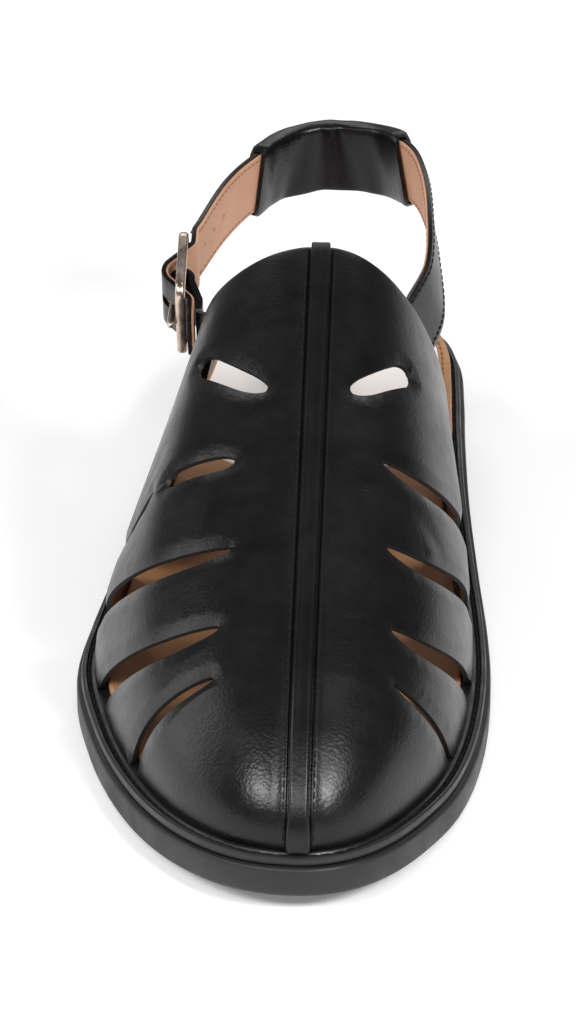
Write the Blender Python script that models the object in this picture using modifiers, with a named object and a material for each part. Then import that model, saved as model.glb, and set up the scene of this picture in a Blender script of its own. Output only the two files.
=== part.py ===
"""Slingback fisherman sandal, right shoe, as hollow and solid leather, rubber and metal pieces.

Points are (x, station, z) until they are placed: x is measured from the centre strip, negative on the
outer side of the foot, and station from the toe tip to the back of the heel.
"""

import math

import bmesh
import bpy
import numpy as np

LENGTH = 0.272
BALL_WIDTH = 0.1045
INSTEP_HEIGHT = 0.0995
HEEL_RISE = 0.0145
TOE_SPRING = 0.006
OUTSOLE_THICK = 0.008
WELT_THICK = 0.0025
INSOLE_THICK = 0.003
LIFT_THICK = 0.005
WALL = 0.002
STRAP_WIDTH = 0.018
CHAPE_WIDTH = 0.012
STRAP_THICK = 0.0018
SLEEVE_WIDTH = 0.021
SLEEVE_WALL = 0.0012
SLEEVE_GAP = 0.0005
STRIP_WIDTH = 0.005
STRIP_HEIGHT = 0.002
BAR = 0.0026
PIN = 0.002
BUCKLE_ACROSS = 0.026
BUCKLE_ALONG = 0.024
PRONG = 0.0018
GAP = 0.0003

WELT_INSET = 0.0012
FEATHER_INSET = 0.0046
HEEL_INSET = 0.0012
SEAT_INSET = 0.0036
SPRING_END = 0.28 * LENGTH
WAIST_START = 0.43 * LENGTH
BREAST = 0.75 * LENGTH
PIVOT = 0.13 * LENGTH
FLANK_TOP = 0.62
SEAT_START = 0.665
SEAT_RUN = 0.07
SLEEVE_START = 0.893 * LENGTH
CUT_ABOVE = 0.004
CUT_BELOW = 0.005
CUT_DROP = 0.006
BUCKLE_CORNER = 0.0032
TAIL = 0.004

OUTER, INNER = -1, 1

# Share of LENGTH, then half widths on the outer and inner side as shares of BALL_WIDTH.
OUTLINE = (
    (0.000, 0.000, 0.000),
    (0.011, 0.133, 0.105),
    (0.044, 0.248, 0.203),
    (0.096, 0.351, 0.287),
    (0.165, 0.439, 0.363),
    (0.257, 0.517, 0.412),
    (0.368, 0.567, 0.430),
    (0.460, 0.546, 0.420),
    (0.551, 0.497, 0.394),
    (0.643, 0.440, 0.369),
    (0.735, 0.402, 0.356),
    (0.827, 0.365, 0.350),
    (0.901, 0.335, 0.337),
    (0.949, 0.283, 0.293),
    (0.985, 0.161, 0.165),
    (1.000, 0.000, 0.000),
)

# Share of LENGTH, crown height as a share of INSTEP_HEIGHT, squareness of the section, then how far
# the outer and inner flank swell (or hollow, below 0) as a share of the half width.
LAST = (
    (0.000, 0.330, 2.30, 0.010, 0.010),
    (0.130, 0.480, 2.30, 0.010, 0.010),
    (0.195, 0.552, 2.20, 0.000, 0.010),
    (0.275, 0.640, 2.15, -0.015, 0.010),
    (0.360, 0.736, 2.10, -0.035, 0.010),
    (0.440, 0.832, 2.05, -0.050, 0.010),
    (0.520, 0.926, 2.05, -0.060, 0.020),
    (0.588, 1.000, 2.05, -0.085, 0.010),
    (0.670, 1.080, 2.05, -0.130, 0.000),
)

# Share of the way up the section, then the station of the upper's rear edge as a share of LENGTH.
REAR_EDGE = (
    (0.00, 0.655),
    (0.20, 0.650),
    (0.30, 0.632),
    (0.42, 0.614),
    (0.55, 0.602),
    (0.70, 0.594),
    (0.85, 0.590),
    (1.00, 0.588),
)

# Side, station and rise of the upper end, station and rise of the lower end, width at each end.
# Stations are shares of LENGTH, a rise below 0 runs out through the welt edge, widths are in metres.
SLOTS = (
    (OUTER, 0.435, 0.86, 0.515, 0.58, 0.0050, 0.0060),
    (OUTER, 0.365, 0.78, 0.390, 0.52, 0.0045, 0.0050),
    (OUTER, 0.405, 0.44, 0.530, -1, 0.0045, 0.0050),
    (OUTER, 0.270, 0.77, 0.430, -1, 0.0040, 0.0060),
    (OUTER, 0.190, 0.70, 0.304, -1, 0.0040, 0.0066),
    (OUTER, 0.140, 0.64, 0.176, -1, 0.0025, 0.0040),
    (INNER, 0.435, 0.86, 0.510, 0.57, 0.0050, 0.0060),
    (INNER, 0.375, 0.72, 0.570, -1, 0.0045, 0.0050),
    (INNER, 0.285, 0.69, 0.460, -1, 0.0045, 0.0055),
    (INNER, 0.202, 0.62, 0.325, -1, 0.0040, 0.0060),
    (INNER, 0.150, 0.54, 0.202, -1, 0.0015, 0.0020),
)

# Sling centre line from the inner side round the heel to the buckle: x as a share of BALL_WIDTH,
# station as a share of LENGTH, height as a share of INSTEP_HEIGHT, lean towards the foot in degrees.
SLING = (
    (0.272, 0.690, 0.745, 12),
    (0.266, 0.750, 0.800, 8),
    (0.246, 0.820, 0.828, 6),
    (0.205, 0.885, 0.822, 6),
    (0.120, 0.940, 0.790, 9),
    (0.000, 0.960, 0.776, 10),
    (-0.120, 0.942, 0.773, 9),
    (-0.208, 0.885, 0.775, 6),
    (-0.262, 0.825, 0.785, 4),
)

BUCKLE_STATION = 0.692 * LENGTH
BUCKLE_X = -0.352 * BALL_WIDTH
BUCKLE_HEIGHT = 0.718 * INSTEP_HEIGHT
BUCKLE_SLOPE = math.radians(21)


def smooth(rows, at):
    """The other columns of a table at a value of its first one, on a cubic through the rows."""
    table = np.array(rows, float)
    places, values = table[:, 0], table[:, 1:]
    slopes = np.gradient(values, places, axis=0)
    i = int(np.clip(np.searchsorted(places, at) - 1, 0, len(places) - 2))
    span = places[i + 1] - places[i]
    u = (at - places[i]) / span
    return (
        (1 + 2 * u) * (1 - u) ** 2 * values[i]
        + u * (1 - u) ** 2 * span * slopes[i]
        + u * u * (3 - 2 * u) * values[i + 1]
        + u * u * (u - 1) * span * slopes[i + 1]
    )


def unit(vector):
    return vector / np.linalg.norm(vector)


def eased(share):
    share = min(max(share, 0), 1)
    return share * share * (3 - 2 * share)


TURNS = tuple(
    (math.acos(1 - 2 * share), outer * BALL_WIDTH, inner * BALL_WIDTH) for share, outer, inner in OUTLINE
)


def rim(turn, side, inset=0.0):
    """A point (x, station) of the sole's outline moved inwards. Turn runs 0 at the toe to pi at the heel."""
    column = 0 if side == OUTER else 1
    half = smooth(TURNS, turn)[column]
    low, high = max(turn - 0.01, 0), min(turn + 0.01, math.pi)
    widening = (smooth(TURNS, high)[column] - smooth(TURNS, low)[column]) / (high - low)
    inward = unit(np.array([-side * LENGTH / 2 * math.sin(turn), widening]))
    return np.array([side * half, LENGTH / 2 * (1 - math.cos(turn))]) + inset * inward


def sole_bottom(station):
    spring = TOE_SPRING * max(0, 1 - station / SPRING_END) ** 2
    return spring + HEEL_RISE * eased((station - WAIST_START) / (BREAST - WAIST_START))


def welt_top(station):
    return sole_bottom(station) + OUTSOLE_THICK + GAP + WELT_THICK


FEATHER = {
    side: np.array([rim(turn, side, FEATHER_INSET) for turn in np.linspace(0, math.pi, 200)])
    for side in (OUTER, INNER)
}


def foot_at(side, station):
    line = FEATHER[side]
    return np.array([np.interp(station, line[:, 1], line[:, 0]), station])


def skin(side, foot, rise):
    """The upper's outer face: foot is where a section meets the welt, rise runs 0 there to 1 on the crown.

    Sections lie across the shoe, and ahead of PIVOT they fan round the toe.
    """
    share = max(foot[1], PIVOT) / LENGTH
    _, power, *flanks = smooth(LAST, share)
    angle = max(rise, 0) * math.pi / 2
    swollen = math.sin(math.pi * min(max(rise, 0) / FLANK_TOP, 1)) ** 2
    swell = flanks[0 if side == OUTER else 1] * swollen
    across = max(math.cos(angle), 0) ** (2 / power) + swell
    up = math.sin(angle) ** (2 / power)
    top = max(foot[1], PIVOT)
    station = top + (foot[1] - top) * across
    base = welt_top(station) + GAP
    crown = smooth(LAST, station / LENGTH)[0] * INSTEP_HEIGHT
    return np.array([foot[0] * across, station, base + (crown - base) * up])


def face(side, station, rise):
    """A point of the upper behind PIVOT, and its outward normal."""
    point = skin(side, foot_at(side, station), rise)
    before, here, after = (foot_at(side, station + step) for step in (-0.002, 0, 0.002))
    along = skin(side, after, rise) - skin(side, before, rise)
    low, high = max(rise - 0.02, 0), min(rise + 0.02, 1)
    upward = skin(side, here, high) - skin(side, here, low)
    return point, unit(np.cross(along, upward) * side)


def placed(point):
    """World place: the box of the whole shoe stands centred on the origin."""
    outer = max(row[1] for row in OUTLINE) * BALL_WIDTH
    inner = max(row[2] for row in OUTLINE) * BALL_WIDTH
    return (point[0] + (outer - inner) / 2, point[1] - LENGTH / 2, point[2])


def collection(name):
    made = bpy.data.collections.new(name)
    bpy.context.scene.collection.children.link(made)
    return made


for old in list(bpy.data.objects):
    bpy.data.objects.remove(old)
SHOE = collection("fisherman_sandal")
CUTTERS = collection("cutters")
CUTTERS.hide_render = True


def solid(name, points, faces, colour=None, rough=0.5, metal=0.0):
    """An object from points and faces, doubled points joined, faces outward. Without a colour it is a cutter."""
    mesh = bpy.data.meshes.new(name)
    mesh.from_pydata([placed(point) for point in points], [], faces)
    work = bmesh.new()
    work.from_mesh(mesh)
    bmesh.ops.remove_doubles(work, verts=work.verts, dist=1e-6)
    bmesh.ops.recalc_face_normals(work, faces=work.faces)
    work.to_mesh(mesh)
    work.free()
    mesh.shade_smooth()
    mesh.set_sharp_from_angle(angle=math.radians(35))
    made = bpy.data.objects.new(name, mesh)
    if colour is None:
        CUTTERS.objects.link(made)
        made.hide_render = True
        made.display_type = "WIRE"
        return made
    material = bpy.data.materials.new(name)
    material.use_nodes = True
    shader = material.node_tree.nodes["Principled BSDF"]
    shader.inputs["Base Color"].default_value = (*colour, 1)
    shader.inputs["Roughness"].default_value = rough
    shader.inputs["Metallic"].default_value = metal
    mesh.materials.append(material)
    SHOE.objects.link(made)
    return made


def loft(rings, cyclic=False):
    """Points and faces of a skin through equal rings, capped at both ends unless it closes on itself."""
    count = len(rings[0])
    points = [point for ring in rings for point in ring]
    faces = []
    for i in range(len(rings) if cyclic else len(rings) - 1):
        for j in range(count):
            here, there = i * count, (i + 1) % len(rings) * count
            faces.append((here + j, here + (j + 1) % count, there + (j + 1) % count, there + j))
    if not cyclic:
        faces.append(tuple(range(count)))
        faces.append(tuple((len(rings) - 1) * count + j for j in range(count)))
    return points, faces


def plate(turns, rows, inset, level):
    """Points and faces of a layer of the sole.

    Each row holds an extra inset and a height over level(station), from the bottom face round the
    side to the top face. The two faces are strips from side to side.
    """
    rings = []
    for turn in turns:
        sides = []
        for side in (OUTER, INNER):
            side_points = []
            for extra, height in rows:
                x, station = rim(turn, side, inset(turn) + extra)
                side_points.append(np.array([x, station, level(station) + height]))
            sides.append(side_points)
        rings.append(sides[0] + sides[1][::-1])
    return loft(rings)


def band(centres, ups, width, thick, trim=0.0005):
    """Rings of a strap: centre line, direction of its width, width and thickness, with broken edges."""
    rings = []
    for i, centre in enumerate(centres):
        along = unit(centres[min(i + 1, len(centres) - 1)] - centres[max(i - 1, 0)])
        up = unit(ups[i] - along * np.dot(ups[i], along))
        out = np.cross(along, up)
        w, t = width / 2, thick / 2
        corners = [(w, t - trim), (w - trim, t), (trim - w, t), (-w, t - trim)]
        corners += [(-b, -n) for b, n in corners]
        rings.append([centre + up * b + out * n for b, n in corners])
    return rings


# Sole: outsole and welt run the full length, the heel block and lift stop at the breast.
FULL = np.linspace(0, math.pi, 47)
HEEL = np.linspace(math.acos(1 - 2 * BREAST / LENGTH), math.pi, 17)
BLACK = (0.012, 0.012, 0.013)
RUBBER = (0.016, 0.016, 0.016)
TAN = (0.42, 0.25, 0.15)
METAL = (0.62, 0.52, 0.44)

outsole_rows = (
    (0.0014, 0),
    (0, 0.0012),
    (0, OUTSOLE_THICK - 0.0012),
    (0.0008, OUTSOLE_THICK - 0.0003),
    (0.0022, OUTSOLE_THICK),
)
solid("outsole", *plate(FULL, outsole_rows, lambda turn: 0, sole_bottom), RUBBER, 0.6)

welt_rows = (
    (0, 0),
    (0, WELT_THICK - 0.0007),
    (0.0006, WELT_THICK),
    (0.0014, WELT_THICK),
    (0.0018, WELT_THICK - 0.0009),
    (0.0022, WELT_THICK - 0.0009),
    (0.0026, WELT_THICK),
    (0.0040, WELT_THICK),
)
solid(
    "welt",
    *plate(FULL, welt_rows, lambda turn: WELT_INSET, lambda s: sole_bottom(s) + OUTSOLE_THICK + GAP),
    BLACK,
    0.5,
)

block_rows = ((0.0004, LIFT_THICK + GAP), (0, LIFT_THICK + GAP + 0.0006), (0, HEEL_RISE - GAP))
solid("heel_block", *plate(HEEL, block_rows, lambda turn: HEEL_INSET, lambda s: 0), RUBBER, 0.6)
lift_rows = ((0.0010, 0), (0, 0.0010), (0, LIFT_THICK - 0.0005), (0.0004, LIFT_THICK))
solid("heel_lift", *plate(HEEL, lift_rows, lambda turn: HEEL_INSET, lambda s: 0), RUBBER, 0.7)


def insole_inset(turn):
    """Inside the upper as far as its rear edge, then wider over the open heel seat."""
    share = (1 - math.cos(turn)) / 2
    inside = FEATHER_INSET + WALL + 0.0008
    return inside + (SEAT_INSET - inside) * eased((share - SEAT_START) / SEAT_RUN)


insole_rows = ((0.0003, 0), (0, 0.0004), (0, INSOLE_THICK - 0.0008), (0.0010, INSOLE_THICK))
solid("insole", *plate(FULL, insole_rows, insole_inset, lambda s: welt_top(s) + GAP), TAN, 0.6)


# Upper: one sheet through the sections, given its wall, then cut by the slots.
RISES = np.linspace(0, 1, 13)
turn_at_pivot = math.acos(1 - 2 * PIVOT / LENGTH)
columns = []
for side in (OUTER, INNER):
    fan = []
    for turn in np.linspace(0, turn_at_pivot, 10):
        foot = rim(turn, side, FEATHER_INSET)
        if foot[1] < PIVOT:
            fan.append([skin(side, foot, rise) for rise in RISES])
    body = []
    for share in np.linspace(0, 1, 20):
        column = []
        for rise in RISES:
            station = PIVOT + share * (smooth(REAR_EDGE, rise)[0] * LENGTH - PIVOT)
            column.append(skin(side, foot_at(side, station), rise))
        body.append(column)
    columns.append(fan + body)
points, faces = [], []
for side_columns in columns:
    start = len(points)
    count = len(RISES)
    points += [point for column in side_columns for point in column]
    for i in range(len(side_columns) - 1):
        for j in range(count - 1):
            corner = start + i * count + j
            faces.append((corner, corner + 1, corner + count + 1, corner + count))
upper = solid("upper", points, faces, BLACK, 0.45)
wall = upper.modifiers.new("wall", "SOLIDIFY")
wall.thickness = WALL
wall.offset = -1
wall.use_even_offset = True


def slot(row):
    """Rings of a cutter that follows the upper from one end of a slot to the other."""
    side, top_share, top_rise, low_share, low_rise, top_width, low_width = row
    runs_out = low_rise < 0
    rings = []
    shares = [0, 0.012, 0.035, 0.07, 0.12, 0.2, 0.32, 0.45, 0.58, 0.72, 0.86, 1]
    if not runs_out:
        shares = [0, 0.02, 0.06, 0.12, 0.2, 0.32, 0.5, 0.68, 0.8, 0.88, 0.95, 0.985, 1]

    def spot(s):
        station = LENGTH * (top_share + (low_share - top_share) * abs(s) ** (2 if runs_out else 1.2))
        return face(side, station, top_rise + (max(low_rise, 0) - top_rise) * s)

    for s in shares:
        point, normal = spot(s)
        across = unit(np.cross(normal, spot(s + 0.01)[0] - spot(s - 0.01)[0]))
        width = top_width + (low_width - top_width) * s
        ends = min(1, s / 0.3) if runs_out else min(1, s / 0.3, (1 - s) / 0.2)
        half = width / 2 * math.sqrt(1 - (1 - ends) ** 2) + 0.0002
        corners = ((-half, CUT_ABOVE), (half, CUT_ABOVE), (half, -CUT_BELOW), (-half, -CUT_BELOW))
        rings.append([point + across * a + normal * n for a, n in corners])
    if runs_out:
        rings.append([corner - np.array([0, 0, CUT_DROP]) for corner in rings[-1]])
    return rings


cut_points, cut_faces = [], []
for row in SLOTS:
    ring_points, ring_faces = loft(slot(row))
    cut_faces += [tuple(len(cut_points) + i for i in loop) for loop in ring_faces]
    cut_points += ring_points
cutter = solid("slot_cutter", cut_points, cut_faces)
cut = upper.modifiers.new("slots", "BOOLEAN")
cut.object = cutter
cut.operation = "DIFFERENCE"
cut.solver = "EXACT"


# Centre strip: a rounded bead over the seam, from above the topline down to the welt at the toe.
crown_line = [
    skin(OUTER, foot_at(OUTER, station), 1)
    for station in np.linspace(smooth(REAR_EDGE, 1)[0] * LENGTH + 0.0008, PIVOT, 18)
]
toe = rim(0, OUTER, FEATHER_INSET)
crown_line += [skin(OUTER, toe, rise) for rise in (0.9, 0.8, 0.7, 0.6, 0.5, 0.4, 0.3, 0.2, 0.1, 0)]
strip_rows = ((0.5, 0), (0.5, 0.6), (0.34, 0.93), (0, 1), (-0.34, 0.93), (-0.5, 0.6), (-0.5, 0))
rings = []
for i, point in enumerate(crown_line):
    point = np.array([0, point[1], point[2]])
    before, after = crown_line[max(i - 1, 0)], crown_line[min(i + 1, len(crown_line) - 1)]
    _, run, drop = after - before
    out = unit(np.array([0, drop, -run]))
    rings.append(
        [
            point + np.array([b * STRIP_WIDTH, 0, 0]) + out * (GAP + n * STRIP_HEIGHT)
            for b, n in strip_rows
        ]
    )
solid("centre_strip", *loft(rings), BLACK, 0.4)


# Buckle: a frame with a middle pin, in a plane of its own. along runs to the heel, out away from the foot.
BUCKLE = np.array([BUCKLE_X, BUCKLE_STATION, BUCKLE_HEIGHT])
along = np.array([0, math.cos(BUCKLE_SLOPE), math.sin(BUCKLE_SLOPE)])
up = np.array([0, -math.sin(BUCKLE_SLOPE), math.cos(BUCKLE_SLOPE)])
out = np.array([-1, 0, 0])


def at_buckle(a, n, b=0):
    return BUCKLE + along * a + out * n + up * b


REACH = (BUCKLE_ALONG - BAR) / 2
HALF_ACROSS = (BUCKLE_ACROSS - BAR) / 2


def bar_ring(centre, side_way, size):
    """A square of broken edges round a point of a bar, across the bar's own line."""
    h, k = size / 2, size * 0.28
    corners = ((h, k), (k, h), (-k, h), (-h, k))
    corners += tuple((-s, -n) for s, n in corners)
    return [centre + side_way * s + out * n for s, n in corners]


rings = []
for corner, signs in zip((45, 135, 225, 315), ((1, 1), (-1, 1), (-1, -1), (1, -1))):
    signs = np.array(signs)
    for step in (-30, 0, 30):
        turn = math.radians(corner + step)
        radial = np.array([math.cos(turn), math.sin(turn)])
        a, b = signs * (REACH, HALF_ACROSS) + (radial - signs) * BUCKLE_CORNER
        rings.append(bar_ring(at_buckle(a, 0, b), along * radial[0] + up * radial[1], BAR))
frame = solid("buckle_frame", *loft(rings, cyclic=True), METAL, 0.3, 1.0)
pin_rings = [bar_ring(at_buckle(0, 0, b), along, PIN) for b in (-HALF_ACROSS, HALF_ACROSS)]
pin = solid("pin_join", *loft(pin_rings))
join = frame.modifiers.new("pin", "BOOLEAN")
join.object = pin
join.operation = "UNION"
join.solver = "EXACT"


def arc(a, radius, start, end, steps):
    """Places (along, out) round a bar at a, by angles from the heel direction towards outwards."""
    return [
        (a + radius * math.cos(math.radians(t)), radius * math.sin(math.radians(t)))
        for t in np.linspace(start, end, steps)
    ]


def lining(side, share, rise, depth):
    """A place inside the upper's wall, and the direction up the section there."""
    point, normal = face(side, share * LENGTH, rise)
    above, _ = face(side, share * LENGTH, rise + 0.04)
    return point - normal * depth, unit(above - point)


def evened(rows, spacing):
    """Rows (x, station, z, up x, up station, up z) taken again at an even spacing on a smooth curve."""
    rows = np.array(rows)
    steps = np.linalg.norm(np.diff(rows[:, :3], axis=0), axis=1)
    lengths = np.concatenate([[0], np.cumsum(steps)])
    table = np.column_stack([lengths, rows])
    count = max(2, round(lengths[-1] / spacing))
    found = [smooth(table, at) for at in np.linspace(0, lengths[-1], count)]
    return np.array([row[:3] for row in found]), np.array([unit(row[3:]) for row in found])


# Distances from a middle line: of a strap's end from the upper's face, of a layer from the pin or a bar.
EASE = 0.0002
ROOT_DEPTH = WALL + GAP + STRAP_THICK / 2 + 0.0014
PIN_WRAP = PIN / 2 + GAP + STRAP_THICK / 2 + EASE
BAR_PASS = BAR / 2 + GAP + STRAP_THICK / 2 + EASE
LAYER = STRAP_THICK + GAP
PIN_PASS = PIN_WRAP + LAYER


def root(side, shares, rise):
    """Rows for the end of a strap that lies against the inside of the upper."""
    found = []
    for share in shares:
        point, upward = lining(side, share, rise, ROOT_DEPTH)
        found.append((*point, *upward))
    return found


def cut_away(target, name, points, faces):
    cutter = solid(name, points, faces)
    hole = target.modifiers.new(name, "BOOLEAN")
    hole.object = cutter
    hole.operation = "DIFFERENCE"
    hole.solver = "EXACT"


# Sling: from inside the upper round the heel, under the frame, over its pin and under the frame again.
sling_rows = root(INNER, (0.575, 0.590, 0.605), 0.42)
for i, (x, station, height, lean) in enumerate(SLING):
    point = np.array([x * BALL_WIDTH, station * LENGTH, height * INSTEP_HEIGHT])
    before, after = SLING[max(i - 1, 0)], SLING[min(i + 1, len(SLING) - 1)]
    run = np.array([(after[0] - before[0]) * BALL_WIDTH, (after[1] - before[1]) * LENGTH])
    inward = unit(np.array([-run[1], run[0]]))
    tilt = math.radians(lean)
    sling_rows.append((*point, *(inward * math.sin(tilt)), math.cos(tilt)))
slope = math.degrees(math.asin((BAR_PASS + PIN_PASS) / REACH))
buckle_path = arc(REACH, BAR_PASS, 270, 270 - slope, 3)
buckle_path += arc(0, PIN_PASS, 90 - slope, 90 + slope, 5)
buckle_path += arc(-REACH, BAR_PASS, 270 + slope, 270, 3)
buckle_path.append((-REACH - TAIL, -BAR_PASS))
sling_rows.append((*at_buckle(REACH + 0.0035, -BAR_PASS), *up))
centres, ups = evened(sling_rows, 0.004)
centres = [*centres, *(at_buckle(a, n) for a, n in buckle_path)]
ups = [*ups, *([up] * len(buckle_path))]
rings = band(centres, ups, STRAP_WIDTH, STRAP_THICK)
sling = solid("sling_strap", *loft(rings), BLACK, 0.45)
prong_line = BAR / 2 + GAP + PRONG / 2 + EASE
slit = (PRONG / 2 + 0.0005) * np.array([-1, 1])
corners = ((-0.0070, -0.0010), (-0.0008, 0.0022), (-0.0008, 0.0065), (-0.0070, 0.0065))
cut_away(sling, "prong_hole", *loft([[at_buckle(a, n, b) for a, n in corners] for b in slit]))

# Sleeve: a closed wrap round the sling at the heel.
room = STRAP_THICK + 2 * SLEEVE_GAP
outside = band(centres, ups, SLEEVE_WIDTH, room + 2 * SLEEVE_WALL)
inside = band(centres, ups, STRAP_WIDTH + 2 * SLEEVE_GAP, room)
behind = [i for i, centre in enumerate(centres) if centre[1] > SLEEVE_START]
shell, hollow = [outside[i] for i in behind], [inside[i] for i in behind]
solid("heel_sleeve", *loft(shell + hollow[::-1], cyclic=True), BLACK, 0.5)

# Chape: the short strap from inside the upper that wraps the pin and holds the buckle.
chape_pass = BAR_PASS + LAYER
chape_rows = root(OUTER, (0.580, 0.595, 0.608), 0.41)
chape_rows += [(*at_buckle(-REACH + step, -chape_pass), *up) for step in (-0.001, 0.003)]
centres, ups = evened(chape_rows, 0.003)
pin_path = arc(0, PIN_WRAP, 255, 495, 9)
centres = [*centres, *(at_buckle(a, n) for a, n in pin_path)]
ups = [*ups, *([up] * len(pin_path))]
rings = band(centres, ups, CHAPE_WIDTH, STRAP_THICK, 0.0003)
chape = solid("chape", *loft(rings), BLACK, 0.45)
ring = [[at_buckle(a, n, b) for a, n in arc(0, PIN_WRAP + LAYER, 0, 345, 24)] for b in slit]
cut_away(chape, "prong_slot", *loft(ring))

# Prong: hooked round the pin, through the sling, its tip on the front bar.
prong_path = arc(0, PIN / 2 + GAP + PRONG / 2, -150, 90, 11)
prong_path += [(-REACH, prong_line), (-REACH - 0.0015, prong_line - 0.0002)]
prong_path = [at_buckle(a, n) for a, n in prong_path]
rings = []
for i, point in enumerate(prong_path):
    run = unit(prong_path[min(i + 1, len(prong_path) - 1)] - prong_path[max(i - 1, 0)])
    side_way = np.cross(run, up)
    turns = np.linspace(0, 2 * math.pi, 9)[:-1]
    rings.append([point + (up * math.cos(t) + side_way * math.sin(t)) * PRONG / 2 for t in turns])
solid("buckle_prong", *loft(rings), METAL, 0.3, 1.0)
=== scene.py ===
"""A slingback fisherman sandal, right shoe: leather, rubber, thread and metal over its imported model."""

import math

import bmesh
import bpy
import numpy as np
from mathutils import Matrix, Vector, bvhtree, geometry, kdtree


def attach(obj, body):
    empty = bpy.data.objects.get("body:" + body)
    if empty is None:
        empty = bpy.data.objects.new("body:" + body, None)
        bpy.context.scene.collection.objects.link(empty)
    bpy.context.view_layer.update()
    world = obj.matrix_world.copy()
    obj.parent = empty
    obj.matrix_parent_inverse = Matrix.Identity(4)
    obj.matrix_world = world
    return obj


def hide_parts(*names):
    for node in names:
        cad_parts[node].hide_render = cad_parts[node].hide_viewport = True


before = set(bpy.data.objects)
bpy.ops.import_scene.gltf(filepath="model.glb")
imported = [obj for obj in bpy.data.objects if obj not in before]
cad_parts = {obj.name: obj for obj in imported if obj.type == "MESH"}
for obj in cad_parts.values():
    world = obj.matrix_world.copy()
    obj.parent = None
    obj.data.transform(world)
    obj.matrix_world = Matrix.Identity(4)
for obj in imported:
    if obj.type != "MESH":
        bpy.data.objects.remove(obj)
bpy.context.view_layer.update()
bpy.context.scene.view_settings.view_transform = "Standard"


# Outsole: a moulded black rubber unit, 272 mm long, with sprung toe and raised heel seat. It is cemented
# under the welt. Its rounded upper rim catches the light, and shallow bars cross its tread.
LENGTH = 0.272
BALL_WIDTH = 0.1045
HEEL_RISE = 0.0145
TOE_SPRING = 0.006
OUTSOLE_THICK = 0.008
GAP = 0.0003
SPRING_END = 0.28 * LENGTH
WAIST_START = 0.43 * LENGTH
BREAST = 0.75 * LENGTH
OUTER, INNER = -1, 1

# Share of LENGTH, then half widths on the outer and inner side as shares of BALL_WIDTH.
OUTLINE = (
    (0.000, 0.000, 0.000), (0.011, 0.133, 0.105),
    (0.044, 0.248, 0.203), (0.096, 0.351, 0.287),
    (0.165, 0.439, 0.363), (0.257, 0.517, 0.412),
    (0.368, 0.567, 0.430), (0.460, 0.546, 0.420),
    (0.551, 0.497, 0.394), (0.643, 0.440, 0.369),
    (0.735, 0.402, 0.356), (0.827, 0.365, 0.350),
    (0.901, 0.335, 0.337), (0.949, 0.283, 0.293),
    (0.985, 0.161, 0.165), (1.000, 0.000, 0.000),
)


class Table:
    """Rows of numbers read on a smooth curve through them, by their first column."""

    def __init__(self, rows):
        table = np.array(rows, float)
        self.places, self.values = table[:, 0], table[:, 1:]
        self.slopes = np.gradient(self.values, self.places, axis=0)

    def at(self, place):
        i = int(np.clip(np.searchsorted(self.places, place) - 1, 0, len(self.places) - 2))
        span = self.places[i + 1] - self.places[i]
        u = (place - self.places[i]) / span
        return (
            (1 + 2 * u) * (1 - u) ** 2 * self.values[i]
            + u * (1 - u) ** 2 * span * self.slopes[i]
            + u * u * (3 - 2 * u) * self.values[i + 1]
            + u * u * (u - 1) * span * self.slopes[i + 1]
        )


TURNS = Table([(math.acos(1 - 2 * s), a * BALL_WIDTH, b * BALL_WIDTH) for s, a, b in OUTLINE])


def unit(vector):
    return vector / np.linalg.norm(vector)


def eased(share):
    share = min(max(share, 0), 1)
    return share * share * (3 - 2 * share)


def rim(turn, side, inset=0.0):
    """A point (x, station) of the sole's outline moved inwards. Turn runs from 0 at the toe to pi."""
    column = 0 if side == OUTER else 1
    low, high = max(turn - 0.01, 0), min(turn + 0.01, math.pi)
    widening = (TURNS.at(high)[column] - TURNS.at(low)[column]) / (high - low)
    inward = unit(np.array([-side * LENGTH / 2 * math.sin(turn), widening]))
    at_rim = np.array([side * TURNS.at(turn)[column], LENGTH / 2 * (1 - math.cos(turn))])
    return at_rim + inset * inward


def sole_bottom(station):
    spring = TOE_SPRING * max(0, 1 - station / SPRING_END) ** 2
    return spring + HEEL_RISE * eased((station - WAIST_START) / (BREAST - WAIST_START))


def placed(point):
    """World place of a point that is measured from the centre strip and the toe tip."""
    outer = max(row[1] for row in OUTLINE) * BALL_WIDTH
    inner = max(row[2] for row in OUTLINE) * BALL_WIDTH
    return (point[0] + (outer - inner) / 2, point[1] - LENGTH / 2, point[2])


def loft(rings, cyclic=False):
    """Points and faces of a skin through equal rings, capped at its ends unless it closes on itself."""
    count = len(rings[0])
    points = [point for ring in rings for point in ring]
    faces = []
    for i in range(len(rings) if cyclic else len(rings) - 1):
        for j in range(count):
            here, there = i * count, (i + 1) % len(rings) * count
            faces.append((here + j, here + (j + 1) % count, there + (j + 1) % count, there + j))
    if not cyclic:
        faces.append(tuple(range(count)))
        faces.append(tuple((len(rings) - 1) * count + j for j in range(count)))
    return points, faces


def plate(turns, rows, inset, level):
    """Points and faces of a layer of the sole, from rows of (extra inset, height over its level)."""
    rings = []
    for turn in turns:
        sides = []
        for side in (OUTER, INNER):
            at_side = [(*rim(turn, side, inset(turn) + extra), height) for extra, height in rows]
            sides.append([np.array([x, station, level(station) + h]) for x, station, h in at_side])
        rings.append(sides[0] + sides[1][::-1])
    return loft(rings)


def stand(name, data):
    """A new object in the scene."""
    thing = bpy.data.objects.new(name, data)
    bpy.context.scene.collection.objects.link(thing)
    return thing


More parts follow.
